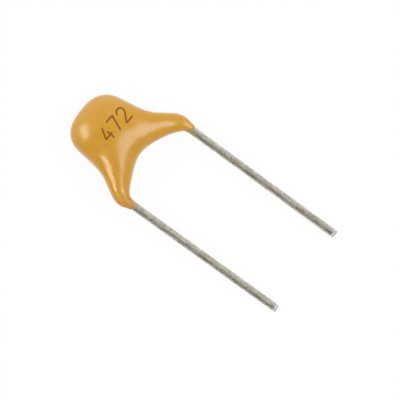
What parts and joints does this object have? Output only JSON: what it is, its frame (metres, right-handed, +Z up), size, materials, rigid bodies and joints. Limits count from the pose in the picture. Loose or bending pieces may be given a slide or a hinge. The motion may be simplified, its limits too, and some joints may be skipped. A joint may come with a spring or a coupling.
{
  "type": "dipped radial multilayer ceramic capacitor",
  "caption": "Small ceramic capacitor with a dipped golden epoxy body and a pair of kinked radial wire leads, lying on its back.",
  "frame": {"origin": "middle of the footprint, on the surface that the part lies on", "axes": "+Y from the lead tips to the crown of the coating, +X across the leads to the right one as the marked face is read, +Z up, out of the marked face; the leads dip 3.7 degrees towards their tips"},
  "size_m": [0.0058, 0.0148, 0.0021],
  "materials": {
    "epoxy": "glossy dipped epoxy, golden tan",
    "tinned_wire": "matt hot-dipped tin",
    "solder": "smooth solder",
    "end_metal": "tin-plated fired metal",
    "ceramic": "sintered, matt",
    "electrode_metal": "sintered nickel"
  },
  "bodies": {
    "root": {"coating": "epoxy", "left_lead": "tinned_wire", "right_lead": "tinned_wire", "left_solder": "solder", "right_solder": "solder", "left_termination": "end_metal", "right_termination": "end_metal", "ceramic_chip": "ceramic", "electrode_01": "electrode_metal", "electrode_02": "electrode_metal", "electrode_03": "electrode_metal", "electrode_04": "electrode_metal", "electrode_05": "electrode_metal", "electrode_06": "electrode_metal", "electrode_07": "electrode_metal", "electrode_08": "electrode_metal", "electrode_09": "electrode_metal", "electrode_10": "electrode_metal", "electrode_11": "electrode_metal", "electrode_12": "electrode_metal"}
  },
  "joints": []
}
